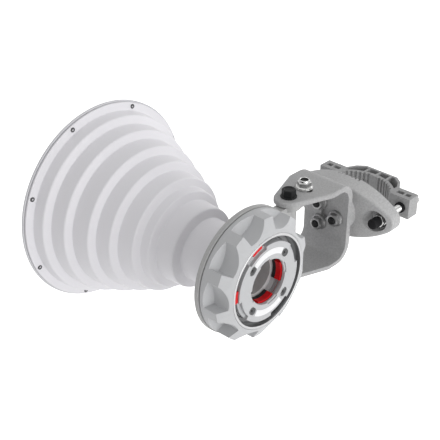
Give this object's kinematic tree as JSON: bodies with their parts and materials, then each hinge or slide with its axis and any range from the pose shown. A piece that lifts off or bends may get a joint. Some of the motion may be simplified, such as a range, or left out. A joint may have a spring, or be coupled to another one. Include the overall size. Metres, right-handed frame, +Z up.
{
  "type": "sector antenna",
  "caption": "Sector antenna as a stepped horn with a twist-lock radio port, on a tilting and turning yoke with a two-bolt mast clamp.",
  "frame": {"origin": "centre of the mast clamp, on the mast's axis at the clamp's mid-height", "axes": "+Z up along the mast; +X from the mast to the horn; the horn looks along -Y and its radio port faces +Y"},
  "size_m": [0.3558, 0.2723, 0.2256],
  "materials": {
    "horn_paint": "satin cool near-white paint",
    "radome_grey": "matte grey plastic",
    "seal_black": "matte black rubber",
    "screw_steel": "dark plated steel",
    "throat_aluminium": "turned aluminium",
    "carrier_cast": "warm grey cast aluminium, fine grain",
    "port_plastic": "satin mid-grey plastic",
    "label_white": "matte white film",
    "ring_plastic": "satin light grey plastic",
    "trim_bright": "bright turned aluminium",
    "lock_red": "red plastic, light gloss",
    "pad_black": "matte black",
    "bracket_cast": "mid-grey cast aluminium, fine grain",
    "jaw_cast": "darker grey cast aluminium, coarse grain",
    "bolt_black": "black coated steel",
    "bolt_steel": "shiny zinc plated steel",
    "cap_black": "matte black plastic"
  },
  "bodies": {
    "clamp_base": {"clamp_base": "bracket_cast", "elevation_bolts": "bolt_black", "elevation_washers": "bolt_steel", "elevation_nuts": "bolt_steel", "clamp_nuts": "bolt_steel"},
    "clamp_jaw": {"clamp_jaw": "jaw_cast", "clamp_bolts": "bolt_steel", "jaw_sleeves": "cap_black", "bolt_caps": "cap_black"},
    "yoke": {"yoke": "bracket_cast"},
    "carrier": {"carrier": "carrier_cast", "horn_shell": "horn_paint", "radome": "radome_grey", "radome_seal": "seal_black", "flange_screws": "screw_steel", "feed_throat": "throat_aluminium", "port_housing": "port_plastic", "port_cover": "port_plastic", "cover_screws": "screw_steel", "cover_labels": "label_white", "pivot_bolts": "bolt_black", "pivot_washers": "bolt_black", "azimuth_bolt": "bolt_black", "azimuth_washer": "bolt_steel", "azimuth_nut": "bolt_steel"},
    "lock_ring": {"lock_ring": "ring_plastic", "trim_ring": "trim_bright", "groove_seal": "seal_black", "lock_rotor": "lock_red", "lock_pads": "pad_black"}
  },
  "joints": [
    {"name": "jaw_slide", "type": "slide", "parent": "clamp_base", "child": "clamp_jaw", "axis": [1, 0, 0], "range_m": [0, 0.018]},
    {"name": "elevation", "type": "hinge", "parent": "clamp_base", "child": "yoke", "pos_m": [0.058, 0, 0], "axis": [1, 0, 0], "range_deg": [-15, 15]},
    {"name": "azimuth", "type": "hinge", "parent": "yoke", "child": "carrier", "pos_m": [0.128, 0, 0], "axis": [0, 0, 1], "range_deg": [-15, 15]},
    {"name": "lock_twist", "type": "hinge", "parent": "carrier", "child": "lock_ring", "pos_m": [0.205, 0.007, 0], "axis": [0, 1, 0], "range_deg": [0, 35]}
  ]
}
